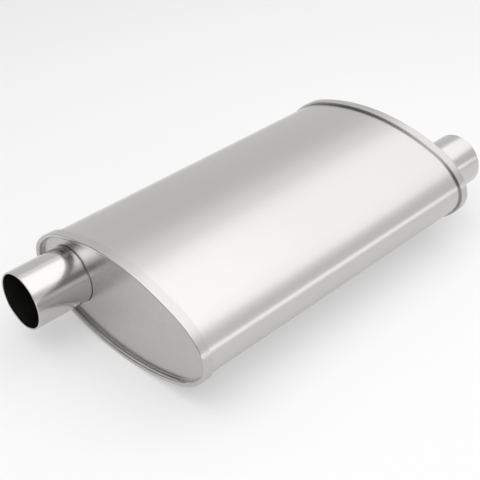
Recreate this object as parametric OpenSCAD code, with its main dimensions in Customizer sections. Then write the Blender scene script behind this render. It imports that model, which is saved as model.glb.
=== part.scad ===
// Oval three-pass muffler with rolled lock-seam rims.
// Millimetres. X runs from the inlet end to the outlet end, Z is up, and the
// origin is the middle of the body. Each end is the other one turned by half a
// turn about Z, so the inlet neck is at +Y and the outlet neck at -Y.

/* [Body] */
// Length of the body over both rolled rims
body_length = 367; // [330:0.5:600]
// Outside radius of the oval at its two ends; with the next two it gives 228 x 103
end_radius = 25; // [24:0.25:30]
// Outside radius of the oval at its four shoulders
shoulder_radius = 65.25; // [62:0.25:70]
// Outside radius of the oval at its top and bottom
flank_radius = 226.75; // [220:0.25:260]
// Thickness of the outer shell sheet
shell_sheet = 0.95; // [0.8:0.05:1.5]
// Thickness of the inner shell sheet
inner_sheet = 0.8; // [0.6:0.1:1.2]
// Gap between the two wraps of the shell
wrap_gap = 0.3; // [0.2:0.05:1]
// Width of the welded seam along the underside
seam_width = 5; // [3:0.5:10]
// Height of that seam above the shell
seam_rise = 0.5; // [0.2:0.1:1]
// Diameter of the condensate drain in the underside
drain_diameter = 3; // [2:0.5:5]
// Distance of the drain from the outlet end rim face
drain_from_end = 32; // [22:1:50]

/* [Rolled rims] */
// Thickness of the head sheet
head_sheet = 1.2; // [0.8:0.1:1.4]
// Width of the rolled rim along the body
rim_width = 9.8; // [8:0.1:16]
// Clearance between the folded sheets of the lock seam
seam_gap = 0.1; // [0.05:0.05:0.3]
// Outer corner radius of the rim
rim_corner = 1.0; // [0.5:0.1:1.2]
// Radius where the rim turns into the recess
rim_shoulder = 2.0; // [1.5:0.1:2.2]
// Depth of the head plate below the rim face
head_recess = 5.0; // [4:0.1:12]
// Inside bend radius between the rim wall and the head plate
head_bend = 1.5; // [1:0.1:1.8]

/* [Necks] */
// Outside diameter of each neck
neck_diameter = 57.15; // [48:0.05:58]
// Wall thickness of the necks
neck_wall = 1.65; // [1.2:0.05:2]
// Distance of each neck from the middle of the body
neck_offset = 65.7; // [64:0.1:68]
// How far each neck stands out of the rim face
neck_reach = 52.5; // [30:0.5:120]
// Depth of the inner end of each neck behind the rim face
neck_depth = 33; // [28:0.5:38]
// How much smaller in radius the inner end of each neck is
neck_step = 0.5; // [0.4:0.1:0.8]
// Length of the taper between the two radii, in front of the head plate
neck_taper = 0.8; // [0.5:0.1:1.2]
// Edge radius at the mouth of a neck
mouth_edge = 0.4; // [0.2:0.1:0.5]
// Radius at which the head plate turns in around a neck
collar_bend = 2.2; // [1.8:0.1:3]
// Depth of the turned-in collar behind the front of the plate
collar_depth = 9; // [7:0.5:14]
// Clearance between a neck and its collar
collar_gap = 0.1; // [0.05:0.05:0.3]
// Leg length of the fillet welds
weld_leg = 2.5; // [1.5:0.1:4]

/* [Tubes] */
// Wall thickness of the perforated tubes
tube_wall = 1.0; // [0.8:0.1:1.5]
// Clearance between a tube and what it slides into
tube_gap = 0.3; // [0.15:0.05:0.5]
// Length of tube that slides into a neck
tube_lap = 15; // [10:1:25]
// How far a tube runs past an end baffle
tube_overrun = 12; // [10:0.5:16]
// Diameter of the perforations
hole_diameter = 5; // [3:0.5:7]
// Distance between rows of perforations
hole_pitch = 12; // [10:0.5:20]
// Number of perforations round a tube
holes_round = 8; // [4:1:12]

/* [Baffles] */
// Thickness of the baffle sheet
baffle_sheet = 1.0; // [0.8:0.1:1.5]
// Distance of an end baffle from the rim face
end_chamber = 68; // [62:1:90]
// Distance of a middle baffle from the middle of the body
mid_baffle_at = 40; // [25:1:44]
// Length of the flange round a baffle
baffle_flange = 10; // [6:0.5:14]
// Inside bend radius of the baffle flange
baffle_bend = 1.5; // [1:0.1:2.5]
// Length of the collar round each tube
baffle_collar = 7; // [5:0.5:9]
// Clearance between a baffle and the inner shell
baffle_gap = 0.3; // [0.1:0.05:0.6]
// Diameter of the vents in the middle baffles
vent_diameter = 11; // [6:0.5:14]
// Height of the vents above and below the middle plane
vent_height = 28; // [26:0.5:30]

/* [Packing] */
// Thickness of the steel wool sleeve round each tube
wool_thickness = 2.5; // [1.5:0.1:2.8]
// Clearance round the sleeves and the packing
packing_gap = 0.3; // [0.2:0.05:0.6]

/* [Hidden] */
round_fn = 96;      // facets of a full turn in a preview
hole_fn = 24;       // facets of a small hole in a preview
cut_over = 1;       // how far a cut runs past the face that it opens
wedge_reach = 1000; // how far the wedges that cut the arcs reach

// The oval. Eight arcs that meet tangent to each other: two end arcs, four
// shoulder arcs and two flank arcs. Every sheet of the body is swept round the
// same arc centres, so its thickness is even all round. The directions in which
// the arcs meet are exact decimals (3-4-5 and 44-117-125 triangles), so
// neighbouring arcs share their end faces exactly.
END_WAY = [0.8, 0.6];           // where an end arc meets a shoulder arc
SHOULDER_WAY = [0.352, 0.936];  // where a shoulder arc meets a flank arc
// An eighth of a millimetre along either direction is a whole number of
// thousandths. Radii in eighths therefore put every arc centre on one too, at any
// size, and the shared end faces stay exact.
function eighths(r) = round(r * 8) / 8;
end_r = eighths(end_radius);
shoulder_r = eighths(shoulder_radius);
flank_r = eighths(flank_radius);
shoulder_c = SHOULDER_WAY.x * (flank_r - shoulder_r);
shoulder_drop = END_WAY.y * (shoulder_r - end_r);
end_c = shoulder_c + END_WAY.x * (shoulder_r - end_r);
flank_drop = shoulder_drop + SHOULDER_WAY.y * (flank_r - shoulder_r);
half_w = end_c + end_r;
half_h = flank_r - flank_drop;
function flip(v) = [-v.x, v.y];
// Each arc: centre, radius, first and last direction
UPPER_ARCS = [
    [[shoulder_c, -shoulder_drop], shoulder_r, END_WAY, SHOULDER_WAY],
    [[0, -flank_drop], flank_r, SHOULDER_WAY, flip(SHOULDER_WAY)],
    [[-shoulder_c, -shoulder_drop], shoulder_r, flip(SHOULDER_WAY), flip(END_WAY)]
];
END_ARCS = [
    [[end_c, 0], end_r, -flip(END_WAY), END_WAY],
    [[-end_c, 0], end_r, flip(END_WAY), -END_WAY]
];
LOWER_ARCS = [for (a = UPPER_ARCS) [-a[0], a[1], -a[2], -a[3]]];

// Offsets of the sheets from the outside of the shell, outwards positive
hem_out = seam_gap + shell_sheet;
rim_out = hem_out + seam_gap + head_sheet;
wall_out = -shell_sheet - seam_gap;
wall_in = wall_out - head_sheet;
liner_out = -shell_sheet - wrap_gap;
liner_in = liner_out - inner_sheet;
baffle_edge = liner_in - baffle_gap;

// Places along the body, from the rim face inwards
half_length = body_length / 2;
plate_back = head_recess + head_sheet;
liner_start = plate_back + wrap_gap;
end_baffle_at = half_length - end_chamber;

neck_r = neck_diameter / 2;
neck_bore_r = neck_r - neck_wall;
neck_in_r = neck_r - neck_step;
neck_in_bore_r = neck_in_r - neck_wall;
collar_r = neck_in_r + collar_gap;
tube_r = neck_in_bore_r - tube_gap;
baffle_hole_r = tube_r + tube_gap;
sleeve_in = tube_r + tube_gap;
sleeve_out = sleeve_in + wool_thickness;
BAFFLES_AT = [-end_baffle_at, -mid_baffle_at, mid_baffle_at, end_baffle_at];

// Turns the XY plane into the YZ plane of the body, and Z into X.
module along_x() { rotate([90, 0, 90]) children(); }

// Puts a thing that is drawn for the inlet end on the outlet end.
module end_for_end() { rotate([0, 0, 180]) children(); }

// Rectangle between two corners
module bar(a, b) { translate(a) square(b - a); }

// Quarter of a ring round c, in the quadrant that the signs in way point to
module quarter_ring(c, r_out, r_in, way) {
    intersection() {
        translate(c) difference() {
            circle(r = r_out, $fn = hole_fn * 2);
            if (r_in > 0) circle(r = r_in, $fn = hole_fn * 2);
        }
        translate([way.x > 0 ? c.x : c.x - r_out, way.y > 0 ? c.y : c.y - r_out]) square(r_out);
    }
}

// Wedge between the first and last direction of an arc, from the arc's centre
module arc_wedge(a) { polygon([[0, 0], wedge_reach * a[2], wedge_reach * a[3]]); }

// Sweeps a profile round the oval. In the profile, X is the offset from the
// outside of the shell and Y is the place along the body.
module oval_sweep() {
    for (a = concat(UPPER_ARCS, END_ARCS, LOWER_ARCS)) translate(a[0]) intersection() {
        rotate_extrude($fn = round_fn * 2) translate([a[1], 0]) children();
        translate([0, 0, -body_length]) linear_extrude(2 * body_length) arc_wedge(a);
    }
}

// The whole oval as a face, at an offset from the outside of the shell
module oval_face(offset_out) {
    for (a = END_ARCS) arc_sector(a, offset_out);
    for (side = [[UPPER_ARCS, 0], [LOWER_ARCS, -2 * half_h]], a = side[0]) intersection() {
        arc_sector(a, offset_out);
        translate([-half_w, side[1]]) square([2 * half_w, 2 * half_h]);
    }
}

module arc_sector(a, offset_out) {
    translate(a[0]) intersection() {
        circle(r = a[1] + offset_out, $fn = round_fn * 2);
        arc_wedge(a);
    }
}

// Profile of the outer shell. At both ends the sheet is folded back outwards into
// the hem that the head grips.
module shell_profile() {
    fold_r = (hem_out + shell_sheet) / 2;
    fold_at = half_length - head_sheet - seam_gap - fold_r;
    hem_end = half_length - rim_width + head_sheet + seam_gap;
    bar([-shell_sheet, -fold_at], [0, fold_at]);
    for (end = [0, 1]) mirror([0, end]) {
        bar([seam_gap, hem_end], [hem_out, fold_at]);
        intersection() {
            translate([hem_out - fold_r, fold_at]) circle(r = fold_r, $fn = hole_fn * 2);
            bar([-shell_sheet, fold_at], [hem_out, fold_at + fold_r]);
        }
    }
}

// Profile of a head's rim: the wall inside the shell, the rolled nose, the leg
// over the hem and the hook that locks behind it.
module rim_profile() {
    nose_in = wall_in + rim_shoulder;
    nose_out = rim_out - rim_corner;
    bend_c = [wall_in - head_bend, head_recess - head_bend];
    leg_in = rim_out - head_sheet;
    quarter_ring(bend_c, head_bend + head_sheet, head_bend, [1, 1]);
    bar([wall_in, rim_shoulder], [wall_out, bend_c.y]);
    quarter_ring([nose_in, rim_shoulder], rim_shoulder, rim_shoulder - head_sheet, [-1, -1]);
    bar([nose_in, 0], [nose_out, head_sheet]);
    quarter_ring([nose_out, rim_corner], rim_corner, 0, [1, -1]);
    bar([leg_in, rim_corner], [rim_out, rim_width - rim_corner]);
    quarter_ring([nose_out, rim_width - rim_corner], rim_corner, 0, [1, 1]);
    bar([seam_gap, rim_width - head_sheet], [nose_out, rim_width]);
}

// Collar that a sheet forms where it turns in round a hole. Y is the place along
// the body, from the front of the sheet.
module collar_profile(hole_r, sheet, bend, depth) {
    quarter_ring([hole_r + bend, bend], bend, bend - sheet, [-1, -1]);
    bar([hole_r, bend], [hole_r + sheet, depth]);
}

module outer_shell() {
    color("silver") difference() {
        union() {
            along_x() oval_sweep() shell_profile();
            shell_seam();
        }
        drain();
    }
}

// Low welded seam that closes the outer shell along its underside
module shell_seam() {
    run = half_length - rim_width - seam_width;
    along_x() translate([0, 0, -run]) linear_extrude(2 * run) intersection() {
        difference() {
            arc_sector(LOWER_ARCS[1], seam_rise);
            arc_sector(LOWER_ARCS[1], -shell_sheet / 2);
        }
        translate([-seam_width / 2, -2 * half_h]) square([seam_width, 2 * half_h]);
    }
}

// Round hole through both wraps, beside the seam in the underside
module drain() {
    translate([half_length - drain_from_end, 2 * seam_width, -half_h])
        cylinder(d = drain_diameter, h = half_h, center = true, $fn = hole_fn);
}

module inner_shell() {
    run = half_length - liner_start;
    color("lightgray") difference() {
        along_x() oval_sweep() bar([liner_in, -run], [liner_out, run]);
        drain();
    }
}

// Head with its rolled rim and the turned-in collar for the neck, at the inlet end
module head() {
    collar_flat_r = collar_r + collar_bend;
    translate([-half_length, 0, 0]) along_x() {
        difference() {
            union() {
                oval_sweep() rim_profile();
                translate([0, 0, head_recess]) linear_extrude(head_sheet)
                    oval_face(wall_in - head_bend);
            }
            translate([neck_offset, 0, head_recess - cut_over])
                cylinder(r = collar_flat_r, h = head_sheet + 2 * cut_over, $fn = round_fn);
        }
        translate([neck_offset, 0, head_recess]) rotate_extrude($fn = round_fn)
            collar_profile(collar_r, head_sheet, collar_bend, collar_depth);
    }
}

module front_head() { color("darkgray") head(); }

module rear_head() { color("darkgray") end_for_end() head(); }

// Neck at the inlet end. It tapers down to its smaller inner end just in front of
// the plate, and that end passes through the collar of the head.
module neck() {
    taper_at = head_recess - neck_taper;
    translate([-half_length, neck_offset, 0]) along_x() rotate_extrude($fn = round_fn) {
        bar([neck_bore_r + mouth_edge, -neck_reach], [neck_r - mouth_edge, mouth_edge - neck_reach]);
        polygon([
            [neck_r, mouth_edge - neck_reach], [neck_r, taper_at], [neck_in_r, head_recess],
            [neck_in_r, neck_depth], [neck_in_bore_r, neck_depth], [neck_in_bore_r, head_recess],
            [neck_bore_r, taper_at], [neck_bore_r, mouth_edge - neck_reach]
        ]);
        quarter_ring([neck_r - mouth_edge, mouth_edge - neck_reach], mouth_edge, 0, [1, -1]);
        quarter_ring([neck_bore_r + mouth_edge, mouth_edge - neck_reach], mouth_edge, 0, [-1, -1]);
    }
}

module inlet_neck() { color("gainsboro") neck(); }

module outlet_neck() { color("gainsboro") end_for_end() neck(); }

// Ring of fillet weld round a tube of radius r. It stands on a face at the place
// at, behind the rim face, and leans inwards.
module fillet_ring(r, at, leg_r) {
    translate([-half_length + at, neck_offset, 0]) along_x() rotate_extrude($fn = round_fn)
        polygon([[r, 0], [r + leg_r, 0], [r, weld_leg]]);
}

// Weld between the neck and the inner edge of the head's collar
module neck_weld() {
    fillet_ring(neck_in_r, head_recess + collar_depth, collar_gap + head_sheet);
}

module inlet_neck_weld() { color("dimgray") neck_weld(); }

module outlet_neck_weld() { color("dimgray") end_for_end() neck_weld(); }

// Weld between the inner edge of the neck and the tube inside it
module tube_weld() { fillet_ring(tube_r, neck_depth, neck_in_r - tube_r); }

module inlet_tube_weld() { color("dimgray") tube_weld(); }

module outlet_tube_weld() { color("dimgray") end_for_end() tube_weld(); }

// Pressed baffle at the inlet side of the body. Its flange and its three collars
// turn towards the inlet end.
module baffle(at, vented) {
    flat_edge = baffle_edge - baffle_sheet - baffle_bend;
    flat_hole_r = baffle_hole_r + baffle_bend + baffle_sheet;
    translate([-at, 0, 0]) mirror([1, 0, 0]) along_x() {
        oval_sweep() {
            quarter_ring([flat_edge, baffle_bend + baffle_sheet], baffle_bend + baffle_sheet,
                baffle_bend, [1, -1]);
            bar([baffle_edge - baffle_sheet, baffle_bend + baffle_sheet], [baffle_edge, baffle_flange]);
        }
        difference() {
            linear_extrude(baffle_sheet) oval_face(flat_edge);
            for (y = [-neck_offset, 0, neck_offset]) translate([y, 0, -cut_over])
                cylinder(r = flat_hole_r, h = baffle_sheet + 2 * cut_over, $fn = round_fn);
            if (vented)
                for (y = [-neck_offset / 2, neck_offset / 2], z = [-vent_height, vent_height])
                    translate([y, z, -cut_over])
                        cylinder(d = vent_diameter, h = baffle_sheet + 2 * cut_over, $fn = hole_fn);
        }
        for (y = [-neck_offset, 0, neck_offset]) translate([y, 0, 0])
            rotate_extrude($fn = round_fn)
                collar_profile(baffle_hole_r, baffle_sheet, baffle_bend + baffle_sheet, baffle_collar);
    }
}

module front_baffle() { color("slategray") baffle(end_baffle_at, false); }

module front_mid_baffle() { color("lightslategray") baffle(mid_baffle_at, true); }

module rear_mid_baffle() { color("lightslategray") end_for_end() baffle(mid_baffle_at, true); }

module rear_baffle() { color("slategray") end_for_end() baffle(end_baffle_at, false); }

// Drills for one chamber between two baffles: rows of holes centred in it, each
// row turned by half a step against the last.
module perforations(from, to) {
    room = to - from - 2 * (baffle_collar + hole_diameter);
    rows = max(0, floor(room / hole_pitch)) + 1;
    step = 360 / holes_round;
    for (row = [0 : rows - 1], hole = [0 : holes_round - 1])
        translate([(from + to) / 2 + (row - (rows - 1) / 2) * hole_pitch, 0, 0])
            rotate([(hole + (row % 2) / 2) * step, 0, 0]) translate([0, 0, tube_r / 2])
                cylinder(d = hole_diameter, h = tube_r, $fn = hole_fn);
}

// Perforated tube between two places along the body
module perforated_tube(from, to) {
    difference() {
        translate([from, 0, 0]) along_x() difference() {
            cylinder(r = tube_r, h = to - from, $fn = round_fn);
            translate([0, 0, -cut_over])
                cylinder(r = tube_r - tube_wall, h = to - from + 2 * cut_over, $fn = round_fn);
        }
        for (chamber = [0 : len(BAFFLES_AT) - 2])
            perforations(BAFFLES_AT[chamber], BAFFLES_AT[chamber + 1]);
    }
}

// The tube from the inlet neck through all four baffles to the outlet end chamber
module through_tube() {
    translate([0, neck_offset, 0])
        perforated_tube(-half_length + neck_depth - tube_lap, end_baffle_at + tube_overrun);
}

module inlet_tube() { color("lightsteelblue") through_tube(); }

module outlet_tube() { color("lightsteelblue") end_for_end() through_tube(); }

module return_tube() {
    color("lightsteelblue")
        perforated_tube(-end_baffle_at - tube_overrun, end_baffle_at + tube_overrun);
}

// Half the length of what is packed between the middle baffles
packed_half = mid_baffle_at - packing_gap;

module wool_sleeve(y) {
    color("gray") translate([-packed_half, y, 0]) along_x() difference() {
        cylinder(r = sleeve_out, h = 2 * packed_half, $fn = round_fn);
        translate([0, 0, -cut_over])
            cylinder(r = sleeve_in, h = 2 * (packed_half + cut_over), $fn = round_fn);
    }
}

module inlet_wool_sleeve() { wool_sleeve(neck_offset); }

module return_wool_sleeve() { wool_sleeve(0); }

module outlet_wool_sleeve() { wool_sleeve(-neck_offset); }

module glass_fibre_packing() {
    color("khaki") translate([-packed_half, 0, 0]) along_x() linear_extrude(2 * packed_half)
        difference() {
            oval_face(liner_in - packing_gap);
            for (y = [-neck_offset, 0, neck_offset])
                translate([y, 0]) circle(r = sleeve_out + packing_gap, $fn = round_fn);
        }
}

outer_shell();
inner_shell();
front_head();
rear_head();
inlet_neck();
outlet_neck();
inlet_neck_weld();
outlet_neck_weld();
front_baffle();
front_mid_baffle();
rear_mid_baffle();
rear_baffle();
inlet_tube();
return_tube();
outlet_tube();
inlet_tube_weld();
outlet_tube_weld();
inlet_wool_sleeve();
return_wool_sleeve();
outlet_wool_sleeve();
glass_fibre_packing();
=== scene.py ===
import math

import bpy
import numpy as np
from mathutils import Matrix


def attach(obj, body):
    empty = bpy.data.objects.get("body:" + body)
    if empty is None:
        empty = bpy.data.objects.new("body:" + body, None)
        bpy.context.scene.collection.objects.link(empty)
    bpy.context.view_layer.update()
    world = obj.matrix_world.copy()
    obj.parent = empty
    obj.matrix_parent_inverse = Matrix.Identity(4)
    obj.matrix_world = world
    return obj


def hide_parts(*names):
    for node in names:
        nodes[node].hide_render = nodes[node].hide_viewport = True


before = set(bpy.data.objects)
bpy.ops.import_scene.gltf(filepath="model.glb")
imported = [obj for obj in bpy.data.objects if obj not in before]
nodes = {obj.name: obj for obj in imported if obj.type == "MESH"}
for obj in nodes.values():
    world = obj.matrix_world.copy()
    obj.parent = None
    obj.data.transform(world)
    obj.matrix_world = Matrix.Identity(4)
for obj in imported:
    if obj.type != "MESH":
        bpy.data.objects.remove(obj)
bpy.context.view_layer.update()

# Sizes of the muffler in millimetres, as in its solids
HALF_LENGTH = 183.5
END_RADIUS = 25.0
SHOULDER_RADIUS = 65.25
FLANK_RADIUS = 226.75
# Outward directions (y, z) where an end arc meets a shoulder arc, and where that meets a flank arc
END_WAY = (0.8, 0.6)
SHOULDER_WAY = (0.352, 0.936)
SHELL_SHEET = 0.95
SEAM_WIDTH = 5.0
SEAM_RISE = 0.5
DRAIN_RADIUS = 1.5
DRAIN_AT = (151.5, 10.0)
HEAD_SHEET = 1.2
RIM_WIDTH = 9.8
FOLD_GAP = 0.1
HEAD_RECESS = 5.0
NECK_RADIUS = 28.575
NECK_WALL = 1.65
NECK_STEP = 0.5
NECK_TAPER = 0.8
NECK_OFFSET = 65.7
NECK_REACH = 52.5
NECK_DEPTH = 33.0
MOUTH_EDGE = 0.4
COLLAR_DEPTH = 9.0
COLLAR_GAP = 0.1

# Offsets from the shell's outer face: of the hem, the outside of the rim, and the two faces of the
# rim's wall inside the shell
HEM_OUT = FOLD_GAP + SHELL_SHEET
RIM_OUT = HEM_OUT + FOLD_GAP + HEAD_SHEET
WALL_OUT = -SHELL_SHEET - FOLD_GAP
WALL_IN = WALL_OUT - HEAD_SHEET
# Height of the lowest points of the rims, where the floor lies
UNDERSIDE = -53.7861

# Forms of the rolled rim as the photo shows them, finer than in the solids: the nose turns into the
# recess in a wide round, meets the plate in a tight bend, and both its outer corners are small
RIM_SHOULDER = 2.8
HEAD_BEND = 0.6
NOSE_CORNER = 0.9
HOOK_CORNER = 0.2
# Distance from the rim's face at which its outside starts to turn into the nose
NOSE_TOP = NOSE_CORNER + 0.4
# The head also turns in more tightly round the neck than in the solids
COLLAR_BEND = 1.3
# Rounding of the cut edges of the sheets, and of the hem's edge
SHEET_EDGE = 0.2
HEM_EDGE = 0.15
# Step from a sharp bend, or from a rounded edge, to the next row of points, which keeps it crisp
NEAR_BEND = 0.05
NEAR_EDGE = 0.3
# The weld along the underside: length of one ripple, its steps, the share of the rise that swells,
# the run over which the ends fade, and how deep the edges lie in the sheet
SEAM_RIPPLE = 1.8
RIPPLE_STEPS = 6
SEAM_SWELL = 0.15
SEAM_FADE = 3.0
SEAM_SUNK = 0.05
# Half the width of the frame in the shell's grid round the drain, and its steps along X
DRAIN_FRAME = 3.0
FRAME_STEPS = 4
# Soft waves of the wrap: depth for each unit of the wave, the distance from the rim's face at which
# they start, and the run over which they grow
WAVE_DEPTH = 0.02
WAVE_START = 14.0
WAVE_FADE = 25.0
# Points round the oval and round a neck, and rows across the flat plate
OVAL_POINTS = 480
NECK_POINTS = 192
PLATE_ROWS = 24
# Half the side of the floor, and the share of plain white in it as the picture and the metal see it
FLOOR_HALF = 12000.0
FLOOR_WHITE = 0.4
# Watts for each square metre of a lamp that give its face a strength of 1
FACE_WATTS = 4.0


# The oval and its sweeps

SHOULDER_ANGLE = math.atan2(END_WAY[1], END_WAY[0])
FLANK_ANGLE = math.atan2(SHOULDER_WAY[1], SHOULDER_WAY[0])
SHOULDER_Y = SHOULDER_WAY[0] * (FLANK_RADIUS - SHOULDER_RADIUS)
SHOULDER_Z = -END_WAY[1] * (SHOULDER_RADIUS - END_RADIUS)
END_Y = SHOULDER_Y + END_WAY[0] * (SHOULDER_RADIUS - END_RADIUS)
FLANK_Z = SHOULDER_Z - SHOULDER_WAY[1] * (FLANK_RADIUS - SHOULDER_RADIUS)


def arc_of(turn):
    """Radius and centre of the arc whose outward direction is the angle turn, from +Y towards +Z.
    An end arc holds turns up to 36.9 degrees, a shoulder arc up to 69.4, a flank arc the rest, and
    the other three quarters mirror the first."""
    quarter = np.arctan2(np.abs(np.sin(turn)), np.abs(np.cos(turn)))
    which = [quarter <= SHOULDER_ANGLE, quarter <= FLANK_ANGLE]
    radius = np.select(which, [END_RADIUS, SHOULDER_RADIUS], FLANK_RADIUS)
    y = np.select(which, [END_Y, SHOULDER_Y], 0.0) * np.sign(np.cos(turn))
    z = np.select(which, [0.0, SHOULDER_Z], FLANK_Z) * np.sign(np.sin(turn))
    return radius, y, z


def even_turns(count):
    """Turns of the outward direction that lie the same distance apart along the oval: the length
    along it is the sum of radius times turn, read backwards at equal steps."""
    fine_steps = 40000
    fine = np.linspace(0.0, 2 * math.pi, fine_steps + 1)
    middle = (fine[1:] + fine[:-1]) / 2
    along = np.concatenate([[0.0], np.cumsum(arc_of(middle)[0] * np.diff(fine))])
    return np.interp(np.linspace(0.0, along[-1], count + 1)[:-1], along, fine)


def oval_rows(profile, turn):
    """Carries a profile round the oval. A profile point is its offset out of the shell and its
    place x: point = (x, arc centre + (arc radius + offset) times the outward direction)."""
    offset, x = np.asarray(profile, float).T[:, :, None]
    radius, y, z = arc_of(turn)
    rows = np.empty((len(profile), len(turn), 3))
    rows[..., 0] = x
    rows[..., 1] = y + (radius + offset) * np.cos(turn)
    rows[..., 2] = z + (radius + offset) * np.sin(turn)
    return rows


def round_rows(profile, turn, middle):
    """Carries a profile of (radius, x) round an axis along X that passes through y = middle."""
    radius, x = np.asarray(profile, float).T[:, :, None]
    rows = np.empty((len(profile), len(turn), 3))
    rows[..., 0] = x
    rows[..., 1] = middle + radius * np.cos(turn)
    rows[..., 2] = radius * np.sin(turn)
    return rows


def bend(middle, radius, first, last, count=8):
    """Points on a circle round middle, from the first to the last angle in degrees."""
    angle = np.radians(np.linspace(first, last, count))
    return [(middle[0] + radius * math.cos(a), middle[1] + radius * math.sin(a)) for a in angle]


def blend_rows(first, last, count):
    """Rows between two rings: first + share times (last - first), without the two ends."""
    share = np.linspace(0.0, 1.0, count + 2)[1:-1, None, None]
    return first + share * (last - first)


def half_turn(points):
    """The same points on the other end: turned by half a turn about Z."""
    return points * np.array([-1.0, -1.0, 1.0])


# Meshes

def make_mesh(name, points, faces, normals=None):
    """A mesh object from points in millimetres, faces and one outward normal for each point."""
    mesh = bpy.data.meshes.new(name)
    mesh.from_pydata(points / 1000.0, [], [list(face) for face in faces])
    mesh.polygons.foreach_set("use_smooth", np.ones(len(mesh.polygons), bool))
    mesh.validate()
    if normals is not None:
        mesh.normals_split_custom_set_from_vertices(normals.tolist())
    piece = bpy.data.objects.new(name, mesh)
    bpy.context.scene.collection.objects.link(piece)
    return piece


def closed_grid(rows):
    """Points, faces and normals of a grid that closes on itself both ways. Each face joins four
    neighbours, and the normal at a point is the cross product of the differences between its
    neighbours along the two ways."""
    down = np.roll(rows, -1, 0) - np.roll(rows, 1, 0)
    across = np.roll(rows, -1, 1) - np.roll(rows, 1, 1)
    normals = np.cross(across, down)
    index = np.arange(rows.shape[0] * rows.shape[1]).reshape(rows.shape[:2])
    below = np.roll(index, -1, 0)
    faces = np.stack([index, np.roll(index, -1, 1), np.roll(below, -1, 1), below], -1).reshape(-1, 4)
    points = rows.reshape(-1, 3)
    a, b, c, d = (points[faces[:, i]] for i in range(4))
    inside_out = np.einsum("ij,ij->i", (a + b + c + d) / 4, np.cross(c - a, d - b)).sum() < 0
    if inside_out:
        faces = faces[:, ::-1]
        normals = -normals
    normals = normals.reshape(-1, 3)
    normals /= np.linalg.norm(normals, axis=1, keepdims=True)
    return points, faces, normals


def capped_tube(rows):
    """Points and faces of a grid that closes on itself across only, with one flat face over each of
    its two ends."""
    index = np.arange(rows.shape[0] * rows.shape[1]).reshape(rows.shape[:2])
    after = np.roll(index, -1, 1)
    faces = np.stack([index[:-1], index[1:], after[1:], after[:-1]], -1).reshape(-1, 4).tolist()
    faces += [index[0].tolist(), index[-1, ::-1].tolist()]
    return rows.reshape(-1, 3), faces


def join_rings(points, normals, one, other):
    """Faces between two rings of points, each turned to look the way of its points' normals."""
    faces = np.stack([one, np.roll(one, -1), np.roll(other, -1), other], 1)
    a, b, c, d = (points[faces[:, i]] for i in range(4))
    against = np.einsum("ij,ij->i", np.cross(c - a, d - b), normals[faces].sum(1)) < 0
    faces[against] = faces[against, ::-1]
    return faces


# Materials

def linear(code):
    """The linear colour of an sRGB hex code."""
    share = np.array([int(code[i:i + 2], 16) for i in (1, 3, 5)]) / 255.0
    low = share / 12.92
    high = ((share + 0.055) / 1.055) ** 2.4
    return (*np.where(share <= 0.04045, low, high).tolist(), 1.0)


def add(tree, kind, settings=None, **links):
    """Adds a node. Settings set its own properties, or its sockets by name or number. Links join its
    sockets to other nodes' outputs, by name with underscores for spaces, or as _0, _1 by number."""
    made = tree.nodes.new(kind)
    for key, value in (settings or {}).items():
        if isinstance(key, str) and hasattr(made, key):
            setattr(made, key, value)
        else:
            made.inputs[key].default_value = value
    for key, output in links.items():
        socket = made.inputs[int(key[1:])] if key[1:].isdigit() else made.inputs[key.replace("_", " ")]
        tree.links.new(output, socket)
    return made


def combine(tree, operation, one, other):
    """The value of a maths operation on two outputs."""
    return add(tree, "ShaderNodeMath", {"operation": operation}, _0=one, _1=other).outputs["Value"]


def new_material(name):
    """An empty material and its node tree."""
    material = bpy.data.materials.new(name)
    material.use_nodes = True
    material.node_tree.nodes.clear()
    return material, material.node_tree


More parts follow.
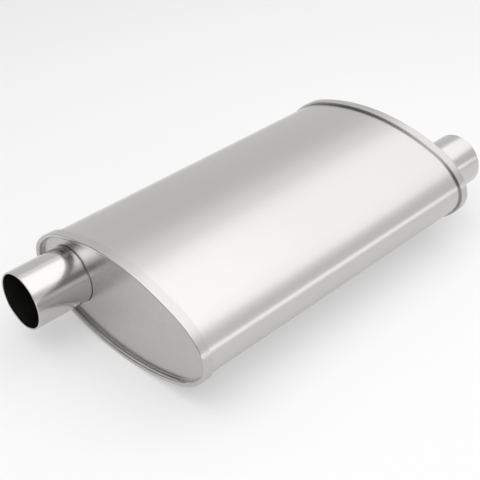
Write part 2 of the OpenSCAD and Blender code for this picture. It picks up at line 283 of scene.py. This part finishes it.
def steel(name, colour, dark, roughness, spread, grain_mm, grain_depth, streak_mm=0.0, streak_depth=0.0,
          burnished=None):
    """Stainless steel. Colour and dark are its two tones, which soft clouds mix, 14 to the metre.
    Roughness and spread are the middle and range of its roughness, grain the size and depth of its
    blasted or rolled grain, and streak the spacing and depth of lines that run round the X axis. Burnished is the share of the roughness
    that is left where a roller has smoothed the sheet, which the mesh marks point by point."""
    material, tree = new_material(name)
    place = add(tree, "ShaderNodeTexCoord").outputs["Object"]
    cloud = add(tree, "ShaderNodeTexNoise", {"Scale": 14.0, "Detail": 3.0, "Roughness": 0.5}, Vector=place)
    grain = add(tree, "ShaderNodeTexNoise", {"Scale": 1000.0 / grain_mm, "Detail": 2.0, "Roughness": 0.6},
                Vector=place)
    tone = add(tree, "ShaderNodeMix", {"data_type": "RGBA"}, Factor=cloud.outputs["Fac"])
    tone.inputs[6].default_value = linear(dark)
    tone.inputs[7].default_value = linear(colour)
    rough = add(tree, "ShaderNodeMapRange", {"From Min": 0.3, "From Max": 0.7,
                "To Min": roughness - spread, "To Max": roughness + spread},
                Value=grain.outputs["Fac"]).outputs["Result"]
    if burnished:
        rolled = add(tree, "ShaderNodeAttribute", {"attribute_name": "rolled"}).outputs["Fac"]
        share = add(tree, "ShaderNodeMapRange", {"To Min": 1.0, "To Max": burnished}, Value=rolled)
        rough = combine(tree, "MULTIPLY", rough, share.outputs["Result"])
    height = add(tree, "ShaderNodeBump", {"Strength": 1.0, "Distance": grain_depth / 1000.0},
                 Height=grain.outputs["Fac"])
    normal = height.outputs["Normal"]
    if streak_mm:
        stretch = add(tree, "ShaderNodeMapping", {"Scale": (1000.0 / streak_mm, 12.0, 12.0)}, Vector=place)
        lines = add(tree, "ShaderNodeTexNoise", {"Scale": 1.0, "Detail": 3.0, "Roughness": 0.7},
                    Vector=stretch.outputs["Vector"])
        ridges = add(tree, "ShaderNodeBump", {"Strength": 1.0, "Distance": streak_depth / 1000.0},
                     Height=lines.outputs["Fac"], Normal=normal)
        normal = ridges.outputs["Normal"]
    shader = add(tree, "ShaderNodeBsdfPrincipled", {"Metallic": 1.0}, Base_Color=tone.outputs[2],
                 Roughness=rough, Normal=normal)
    add(tree, "ShaderNodeOutputMaterial", Surface=shader.outputs["BSDF"])
    return material


# Stainless sheet with a rolled and lightly blasted skin: broad soft reflections, very fine grain
satin_sheet = steel("satin_stainless_sheet", "#C6C5C3", "#C3C2C0", 0.25, 0.02, 0.9, 0.0012)
# The same sheet after pressing, a little duller and coarser, with a rim that the seaming roller has
# made smoother: it draws the crisp lines along the nose
pressed_sheet = steel("pressed_stainless_head", "#C0BFBD", "#BCBBB9", 0.27, 0.03, 0.8, 0.003, burnished=0.5)
# Bright drawn tube, polished round its axis: sharper reflections with faint lines
bright_tube = steel("bright_stainless_tube", "#C8C7C5", "#C5C4C2", 0.17, 0.015, 0.9, 0.0004, 0.5, 0.0005)
# Plain sheet and tube inside the body: greyer, with a mill finish
mill_sheet = steel("mill_finish_sheet", "#A9A8A6", "#9D9C9A", 0.38, 0.05, 1.2, 0.004)
mill_tube = steel("mill_finish_tube", "#A5A4A2", "#999896", 0.36, 0.05, 1.2, 0.004, 1.0, 0.002)
# Weld metal: darker, ripply and tinted by heat
weld_metal = steel("stainless_weld_bead", "#8E8880", "#6F665C", 0.42, 0.08, 1.5, 0.03)
# Steel wool: a dark mat of fine wire
steel_wool = steel("steel_wool_mat", "#7C7B79", "#4E4D4B", 0.6, 0.1, 1.0, 0.25, 1.5, 0.1)


def fibre():
    """Glass fibre: matt pale yellow, in soft tufts of 2.5 mm."""
    material, tree = new_material("matted_glass_fibre")
    place = add(tree, "ShaderNodeTexCoord").outputs["Object"]
    tuft = add(tree, "ShaderNodeTexNoise", {"Scale": 400.0, "Detail": 5.0, "Roughness": 0.7}, Vector=place)
    tone = add(tree, "ShaderNodeMix", {"data_type": "RGBA"}, Factor=tuft.outputs["Fac"])
    tone.inputs[6].default_value = linear("#CFC7A4")
    tone.inputs[7].default_value = linear("#EFEAD6")
    height = add(tree, "ShaderNodeBump", {"Strength": 1.0, "Distance": 0.0008}, Height=tuft.outputs["Fac"])
    shader = add(tree, "ShaderNodeBsdfPrincipled", {"Roughness": 0.9}, Base_Color=tone.outputs[2],
                 Normal=height.outputs["Normal"])
    add(tree, "ShaderNodeOutputMaterial", Surface=shader.outputs["BSDF"])
    return material


# Pieces

def dress(piece, material, slot, *replaced):
    """Gives a piece its material, and lets it ride on the body in place of its solid."""
    piece.data.materials.append(material)
    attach(piece, "root")
    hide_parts(*replaced)


def flat_places(count):
    """Places of the grid's rows along the flat run of the shell: count of them from the middle to
    the frame round the drain, then close together through the frame, then a few to the rim."""
    start, end = DRAIN_AT[0] - DRAIN_FRAME, DRAIN_AT[0] + DRAIN_FRAME
    return np.concatenate([np.linspace(0.0, start, count)[:-1], np.linspace(start, end, FRAME_STEPS + 1),
                           np.linspace(end, HALF_LENGTH - RIM_SHOULDER - NEAR_EDGE, 6)[1:]])


def half_profile():
    """Outline of the shell sheet from the middle of the body out to the hem and back inside."""
    fold = HALF_LENGTH - RIM_SHOULDER
    hem_end = HALF_LENGTH - RIM_WIDTH + HEAD_SHEET + FOLD_GAP
    radius = (HEM_OUT + SHELL_SHEET) / 2
    middle = HEM_OUT - radius
    edge = HEM_EDGE
    inset = 0.02
    half = [(0.0, x) for x in flat_places(34)]
    half += [(0.0, fold - NEAR_BEND), (inset, fold), (FOLD_GAP - inset, fold), (FOLD_GAP, fold - NEAR_BEND)]
    half += [(FOLD_GAP, hem_end + NEAR_EDGE)]
    half += bend((FOLD_GAP + edge, hem_end + edge), edge, 180, 270, 4)
    half += bend((HEM_OUT - edge, hem_end + edge), edge, 270, 360, 4)
    half += [(HEM_OUT, fold - NEAR_EDGE)]
    half += bend((middle, fold), radius, 0, 180, 14)
    half += [(-SHELL_SHEET, x) for x in flat_places(12)[::-1]]
    return half


def shell_waves(rows):
    """Sinks the sheet between the rims by up to 0.06 mm in long soft waves, as a rolled wrap has.
    The wave is the product of two slanted sines of x and y plus half of a third, less 1.5 so that
    it never rises above the sheet, and it fades out softly towards the rims."""
    x, y, z = rows[..., 0], rows[..., 1], rows[..., 2]
    wave = np.sin(x / 23.0 + y / 31.0) * np.sin(y / 17.0 - x / 57.0 + 1.3) + 0.5 * np.sin(x / 11.0 - y / 9.0)
    fade = np.clip((HALF_LENGTH - WAVE_START - np.abs(x)) / WAVE_FADE, 0.0, 1.0)
    depth = WAVE_DEPTH * (wave - 1.5) * fade * fade * (3 - 2 * fade)
    return rows + np.stack([np.zeros_like(x), np.zeros_like(x), depth * np.sign(z)], -1)


def drain_frame(profile, rows, offset):
    """Indices of the grid points that frame the drain on the face of the sheet at an offset, in one
    loop that starts at the lowest x, and of the grid faces inside the frame."""
    under = (np.abs(rows[0, :, 1] - DRAIN_AT[1]) < DRAIN_FRAME) & (rows[0, :, 2] < 0)
    across = np.flatnonzero(under)
    near = [i for i, (out, x) in enumerate(profile)
            if out == offset and abs(x - DRAIN_AT[0]) < DRAIN_FRAME + 0.01]
    down = sorted(near, key=lambda i: profile[i][1])
    wide = rows.shape[1]
    loop = [down[0] * wide + c for c in across] + [r * wide + across[-1] for r in down[1:]]
    loop += [down[-1] * wide + c for c in across[-2::-1]] + [r * wide + across[0] for r in down[-2:0:-1]]
    return np.array(loop), [r * wide + c for r in near[:-1] for c in across[:-1]]


def pierce_drain(profile, rows, points, faces, normals):
    """Cuts the drain through the sheet. On each face of the sheet the grid inside a frame is taken
    out, and the frame is joined to a circle of the drain's radius at the same angles, on the lower
    flank arc: z = middle - root of (radius squared - y squared). A wall joins the two circles."""
    kept = np.ones(len(faces), bool)
    pairs = []
    wall = []
    for offset in (0.0, -SHELL_SHEET):
        loop, framed = drain_frame(profile, rows, offset)
        kept[framed] = False
        way = points[loop, :2] - DRAIN_AT
        way /= np.linalg.norm(way, axis=1, keepdims=True)
        circle = np.empty((len(loop), 3))
        circle[:, :2] = DRAIN_AT + DRAIN_RADIUS * way
        circle[:, 2] = -FLANK_Z - np.sqrt((FLANK_RADIUS + offset) ** 2 - circle[:, 1] ** 2)
        circle = shell_waves(circle)
        face_normals = np.repeat(normals[loop].mean(0, keepdims=True), len(loop), 0)
        wall_normals = np.concatenate([-way, np.zeros((len(loop), 1))], 1)
        ring = len(points) + np.arange(len(loop))
        points = np.concatenate([points, circle, circle])
        normals = np.concatenate([normals, face_normals, wall_normals])
        pairs.append((loop, ring))
        wall.append(ring + len(ring))
    added = [join_rings(points, normals, *pair) for pair in [*pairs, wall]]
    return points, np.concatenate([faces[kept], *added]), normals


def make_shell():
    """The shell sheet with its hems: half its outline and the mirror of it, carried round the oval."""
    half = half_profile()
    profile = half + [(offset, -x) for offset, x in half[-2:0:-1]]
    rows = shell_waves(oval_rows(profile, even_turns(OVAL_POINTS)))
    shell = make_mesh("shell_skin", *pierce_drain(profile, rows, *closed_grid(rows)))
    dress(shell, satin_sheet, "shell_steel", "outer_shell")


def make_seam():
    """The weld that closes the shell along its underside: a low bead whose cross section has
    y = half its width times cos and height = rise times sin. The rise swells with a cosine along X,
    once each ripple, and fades out at both ends. Two more points close it inside the sheet."""
    run = HALF_LENGTH - RIM_WIDTH - SEAM_WIDTH
    x = np.linspace(-run, run, int(RIPPLE_STEPS * 2 * run / SEAM_RIPPLE))[:, None]
    across = np.linspace(0.0, math.pi, 13)
    fade = np.sqrt(np.clip((run - np.abs(x)) / SEAM_FADE, 0.0, 1.0))
    swell = SEAM_SWELL * np.cos(2 * math.pi * x / SEAM_RIPPLE)
    rise = SEAM_RISE * fade * (1 - SEAM_SWELL + swell)
    crown = np.maximum(rise * np.sin(across), SEAM_SUNK) - SEAM_SUNK
    crown[:, [0, -1]] = -SEAM_SUNK
    height = np.concatenate([crown, np.full((len(x), 2), -SHELL_SHEET / 2)], 1)
    width = SEAM_WIDTH / 2 * np.concatenate([np.cos(across), [-0.9, 0.9]])
    radius, middle_y, middle_z = arc_of(width / FLANK_RADIUS - math.pi / 2)
    rows = np.empty((len(x), len(width), 3))
    rows[..., 0] = x
    rows[..., 1] = middle_y + (radius + height) * np.sin(width / FLANK_RADIUS)
    rows[..., 2] = middle_z - (radius + height) * np.cos(width / FLANK_RADIUS)
    seam = make_mesh("underside_weld", *capped_tube(rows))
    dress(seam, weld_metal, "shell_steel", "outer_shell")


def rim_front():
    """The face of the rim that shows, from the hook behind the hem to the recess."""
    edge = SHEET_EDGE
    line = bend((FOLD_GAP + edge, RIM_WIDTH - edge), edge, 180, 90, 4)
    line += bend((RIM_OUT - HOOK_CORNER, RIM_WIDTH - HOOK_CORNER), HOOK_CORNER, 90, 0, 7)
    line += [(RIM_OUT, NOSE_TOP)]
    line += bend((RIM_OUT - NOSE_CORNER, NOSE_CORNER), NOSE_CORNER, 0, -90, 9)
    line += bend((WALL_IN + RIM_SHOULDER, RIM_SHOULDER), RIM_SHOULDER, -90, -180, 12)
    line += bend((WALL_IN - HEAD_BEND, HEAD_RECESS - HEAD_BEND), HEAD_BEND, 0, 90, 10)
    return line


def rim_back():
    """The face of the rim that lies against the shell, from the recess back to the hook."""
    edge = SHEET_EDGE
    leg = RIM_OUT - HEAD_SHEET
    line = bend((WALL_IN - HEAD_BEND, HEAD_RECESS - HEAD_BEND), HEAD_BEND + HEAD_SHEET, 90, 0, 10)
    line += bend((WALL_IN + RIM_SHOULDER, RIM_SHOULDER), RIM_SHOULDER - HEAD_SHEET, 180, 270, 8)
    line += bend((leg - edge, HEAD_SHEET + edge), edge, -90, 0, 4)
    line += bend((leg - edge, RIM_WIDTH - HEAD_SHEET - edge), edge, 0, 90, 4)
    line += bend((FOLD_GAP + edge, RIM_WIDTH - HEAD_SHEET + edge), edge, 270, 180, 4)
    return line


def collar_line():
    """The collar that turns in round the neck, out along its face and back along its inside."""
    edge = SHEET_EDGE
    radius = NECK_RADIUS - NECK_STEP + COLLAR_GAP
    tip = HEAD_RECESS + COLLAR_DEPTH
    line = bend((radius + COLLAR_BEND, HEAD_RECESS + COLLAR_BEND), COLLAR_BEND, 270, 180, 10)
    line += bend((radius + edge, tip - edge), edge, 180, 90, 4)
    line += bend((radius + HEAD_SHEET - edge, tip - edge), edge, 90, 0, 4)
    line += bend((radius + COLLAR_BEND, HEAD_RECESS + COLLAR_BEND), COLLAR_BEND - HEAD_SHEET, 180, 270, 8)
    return line


def head_rows():
    """The head at the inlet end as one closed grid: the rim carried round the oval, the flat plate
    as straight lines from the oval to the neck's circle, the collar round the neck, and back."""
    turn = even_turns(OVAL_POINTS)
    front = oval_rows(rim_front(), turn)
    back = oval_rows(rim_back(), turn)
    around = np.unwrap(np.arctan2(front[-1, :, 2], front[-1, :, 1] - NECK_OFFSET))
    collar = round_rows(collar_line(), around, NECK_OFFSET)
    rows = np.concatenate([front, blend_rows(front[-1], collar[0], PLATE_ROWS), collar,
                           blend_rows(collar[-1], back[0], PLATE_ROWS), back])
    rows[..., 0] -= HALF_LENGTH
    return rows


def mark_rolled(head, rows):
    """Marks the rows that the seaming roller has run over: the nose, from its outer corner to the
    bend where it meets the plate."""
    front = rim_front()
    first = front.index((RIM_OUT, NOSE_TOP)) + 1
    rolled = np.zeros(rows.shape[:2], np.float32)
    rolled[first:len(front) - 1] = 1.0
    head.data.attributes.new("rolled", "FLOAT", "POINT").data.foreach_set("value", rolled.ravel())


def make_heads():
    """The head at the inlet end, and the same turned round for the outlet end."""
    rows = head_rows()
    front = make_mesh("inlet_end_head", *closed_grid(rows))
    rear = make_mesh("outlet_end_head", *closed_grid(half_turn(rows)))
    for head, node in ((front, "front_head"), (rear, "rear_head")):
        mark_rolled(head, rows)
        dress(head, pressed_sheet, "head_steel", node)


def neck_rows():
    """The neck as a closed outline carried round its axis: along the outside of its smaller inner
    end and of its wide part, round the mouth, and back through the bore."""
    outer, bore = NECK_RADIUS, NECK_RADIUS - NECK_WALL
    mouth, edge = MOUTH_EDGE, SHEET_EDGE
    inner_run = (NECK_DEPTH - NEAR_EDGE, HEAD_RECESS + NEAR_BEND)
    wide_run = (HEAD_RECESS - NECK_TAPER - NEAR_BEND, mouth - NECK_REACH + NEAR_EDGE)
    line = [(outer - NECK_STEP, x) for x in np.linspace(*inner_run, 12)]
    line += [(outer, x) for x in np.linspace(*wide_run, 40)]
    line += bend((outer - mouth, mouth - NECK_REACH), mouth, 0, -90, 7)
    line += bend((bore + mouth, mouth - NECK_REACH), mouth, 270, 180, 7)
    line += [(bore, x) for x in np.linspace(*wide_run[::-1], 30)]
    line += [(bore - NECK_STEP, x) for x in np.linspace(*inner_run[::-1], 12)]
    line += bend((bore - NECK_STEP + edge, NECK_DEPTH - edge), edge, 180, 90, 4)
    line += bend((outer - NECK_STEP - edge, NECK_DEPTH - edge), edge, 90, 0, 4)
    rows = round_rows(line, np.linspace(0, 2 * math.pi, NECK_POINTS + 1)[:-1], NECK_OFFSET)
    rows[..., 0] -= HALF_LENGTH
    return rows


def make_necks():
    """The neck at the inlet end, and the same turned round for the outlet end."""
    rows = neck_rows()
    inlet = make_mesh("inlet_pipe", *closed_grid(rows))
    outlet = make_mesh("outlet_pipe", *closed_grid(half_turn(rows)))
    dress(inlet, bright_tube, "neck_steel", "inlet_neck")
    dress(outlet, bright_tube, "neck_steel", "outlet_neck")


make_shell()
make_seam()
make_heads()
make_necks()

glass_fibre = fibre()
# Solids that the scene shows as they are, each with its material
KEPT = {
    "inner_shell": mill_sheet, "front_baffle": mill_sheet, "front_mid_baffle": mill_sheet,
    "rear_mid_baffle": mill_sheet, "rear_baffle": mill_sheet, "inlet_tube": mill_tube,
    "return_tube": mill_tube, "outlet_tube": mill_tube, "inlet_neck_weld": weld_metal,
    "outlet_neck_weld": weld_metal, "inlet_tube_weld": weld_metal, "outlet_tube_weld": weld_metal,
    "inlet_wool_sleeve": steel_wool, "return_wool_sleeve": steel_wool,
    "outlet_wool_sleeve": steel_wool, "glass_fibre_packing": glass_fibre,
}
for name, material in KEPT.items():
    for place in nodes[name].material_slots:
        place.material = material


# Floor, light and camera

def make_floor():
    """White paper. The picture and the metal see it as part plain white, for a pale background, and
    the rest keeps the object's shadow. It lights the object as plain paper does."""
    material, tree = new_material("white_paper_floor")
    shader = add(tree, "ShaderNodeBsdfPrincipled", {"Base Color": linear("#E2E2E2"), "Roughness": 0.9,
                                                    "Specular IOR Level": 0.1})
    path = add(tree, "ShaderNodeLightPath").outputs
    seen = path["Is Camera Ray"]
    for ray in ("Is Glossy Ray", "Is Transmission Ray"):
        seen = combine(tree, "MAXIMUM", seen, path[ray])
    share = add(tree, "ShaderNodeMath", {"operation": "MULTIPLY", 1: FLOOR_WHITE}, _0=seen)
    white = add(tree, "ShaderNodeEmission", {"Strength": 1.0})
    paper = add(tree, "ShaderNodeMixShader", _0=share.outputs["Value"], _1=shader.outputs["BSDF"],
                _2=white.outputs["Emission"])
    add(tree, "ShaderNodeOutputMaterial", Surface=paper.outputs["Shader"])
    ways = ((-1, -1), (1, -1), (1, 1), (-1, 1))
    corners = np.array([[x * FLOOR_HALF, y * FLOOR_HALF, UNDERSIDE] for x, y in ways])
    floor = make_mesh("floor", corners, [(0, 1, 2, 3)])
    floor.data.materials.append(material)


def soft_box(name, centre, toward, size, strength):
    """A rectangular lamp of the given size in metres at centre, facing toward, with its long side
    along X. Strength is how bright its face is."""
    lamp = bpy.data.lights.new(name, "AREA")
    lamp.shape = "RECTANGLE"
    lamp.size, lamp.size_y = size
    lamp.energy = strength * FACE_WATTS * size[0] * size[1]
    lamp_object = bpy.data.objects.new(name, lamp)
    away = np.array(centre, float) - np.array(toward, float)
    away /= np.linalg.norm(away)
    side = np.array([1.0, 0.0, 0.0])
    up = np.cross(away, side)
    up /= np.linalg.norm(up)
    side = np.cross(up, away)
    turn = Matrix(np.stack([side, up, away], 1).tolist()).to_4x4()
    lamp_object.matrix_world = Matrix.Translation(centre) @ turn
    bpy.context.scene.collection.objects.link(lamp_object)


def soft_range(tree, value, start, end):
    """Rises softly from 0 to 1 while a value goes from start to end."""
    return add(tree, "ShaderNodeMapRange", {"interpolation_type": "SMOOTHSTEP", "From Min": start,
                                            "From Max": end}, Value=value).outputs["Result"]


def make_world():
    """The room round the object: a pale one, with a dark opening behind the inlet end. The dark is
    the product of three soft ranges of the direction: towards -X, above the horizon, and below the
    lamps."""
    world = bpy.data.worlds.new("studio")
    bpy.context.scene.world = world
    world.use_nodes = True
    tree = world.node_tree
    tree.nodes.clear()
    way = add(tree, "ShaderNodeTexCoord").outputs["Generated"]
    parts = add(tree, "ShaderNodeSeparateXYZ", Vector=way).outputs
    behind = soft_range(tree, parts["X"], -0.28, -0.50)
    above = soft_range(tree, parts["Z"], 0.02, 0.15)
    below = soft_range(tree, parts["Z"], 0.74, 0.58)
    dark = combine(tree, "MULTIPLY", combine(tree, "MULTIPLY", behind, above), below)
    level = add(tree, "ShaderNodeMapRange", {"To Min": 0.8, "To Max": 0.16}, Value=dark)
    sky = add(tree, "ShaderNodeBackground", {"Color": linear("#FFFFFF")}, Strength=level.outputs["Result"])
    add(tree, "ShaderNodeOutputWorld", Surface=sky.outputs["Background"])


def make_light():
    """The room and its lamps: three broad ones overhead that overlap, one high over the inlet end,
    and a long strip low at the side."""
    make_world()
    soft_box("overhead_box", (0.1, -0.17, 0.75), (0.1, -0.17, 0.0), (2.2, 1.14), 0.38)
    soft_box("overhead_core", (-0.15, -0.15, 0.76), (-0.15, -0.15, 0.0), (1.2, 0.9), 0.12)
    soft_box("front_box", (-0.85, -0.05, 1.0), (-0.25, 0.0, -0.05), (0.9, 0.75), 0.7)
    soft_box("overhead_spread", (0.2, -0.15, 0.77), (0.2, -0.15, 0.0), (2.2, 1.78), 0.24)
    soft_box("side_strip", (0.1, -1.3, 0.23), (0.1, 0.0, 0.0), (3.0, 0.34), 0.72)


def make_camera():
    """The photo's view: the direction from azimuth and elevation, the roll about it, and the
    distance and shifts in millimetres, all fitted to the outlines in the photo."""
    azimuth, elevation, roll = math.radians(45.405), math.radians(35.381), math.radians(-0.478)
    distance, right_shift, up_shift = 971.234, 19.62, 16.26
    focal_pixels, picture_pixels = 989.854, 480.0
    ahead = np.array([math.cos(azimuth) * math.cos(elevation),
                      math.sin(azimuth) * math.cos(elevation), -math.sin(elevation)])
    level = np.cross(ahead, [0.0, 0.0, 1.0])
    level /= np.linalg.norm(level)
    upright = np.cross(level, ahead)
    right = math.cos(roll) * level + math.sin(roll) * upright
    up = -math.sin(roll) * level + math.cos(roll) * upright
    place = (-distance * ahead - right_shift * right - up_shift * up) / 1000.0
    lens = bpy.data.cameras.new("camera")
    lens.sensor_width = 36.0
    lens.lens = focal_pixels / picture_pixels * lens.sensor_width
    camera = bpy.data.objects.new("camera", lens)
    turn = Matrix(np.stack([right, up, -ahead], 1).tolist()).to_4x4()
    camera.matrix_world = Matrix.Translation(place.tolist()) @ turn
    bpy.context.scene.collection.objects.link(camera)
    bpy.context.scene.camera = camera


make_floor()
make_light()
make_camera()
bpy.context.scene.view_settings.view_transform = "Standard"
